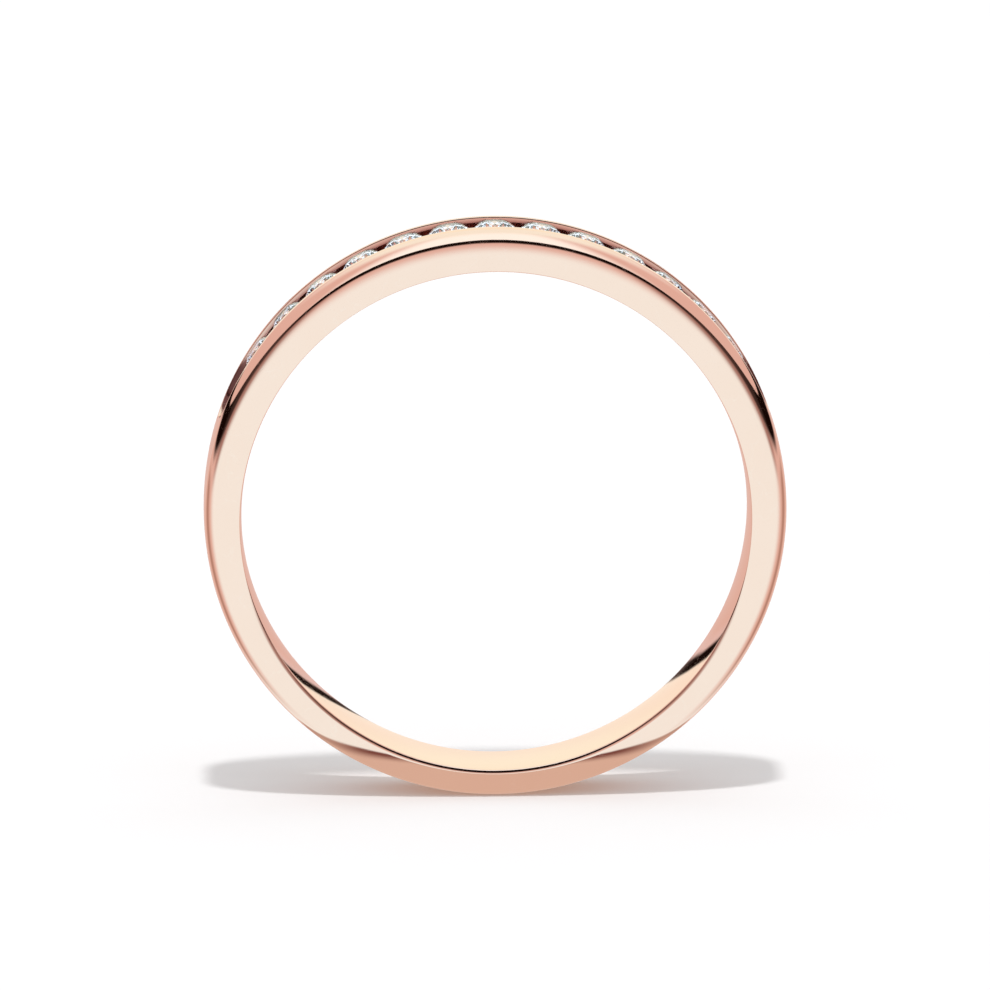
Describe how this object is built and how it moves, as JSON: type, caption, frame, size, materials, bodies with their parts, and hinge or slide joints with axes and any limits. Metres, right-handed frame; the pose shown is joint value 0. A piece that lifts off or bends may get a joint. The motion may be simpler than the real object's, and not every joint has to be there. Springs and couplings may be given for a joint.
{
  "type": "wedding band",
  "caption": "Slim channel-set half-eternity finger ring: a rose-gold band with a row of small round brilliant stones over the top.",
  "frame": {"origin": "centre of the finger hole, midway across the band's width", "axes": "+Y along the finger axis, +Z from the hole's centre through the middle stone, +X to the right when looking along +Y"},
  "size_m": [0.0198, 0.0028, 0.0197],
  "materials": {
    "rose_gold": "mirror-polished rose-gold alloy with fine hairline wear",
    "clear_stone": "clear colourless brilliant-cut stone, polished facets"
  },
  "bodies": {
    "root": {"band": "rose_gold", "stone_01": "clear_stone", "stone_02": "clear_stone", "stone_03": "clear_stone", "stone_04": "clear_stone", "stone_05": "clear_stone", "stone_06": "clear_stone", "stone_07": "clear_stone", "stone_08": "clear_stone", "stone_09": "clear_stone", "stone_10": "clear_stone", "stone_11": "clear_stone", "stone_12": "clear_stone", "stone_13": "clear_stone"}
  },
  "joints": []
}
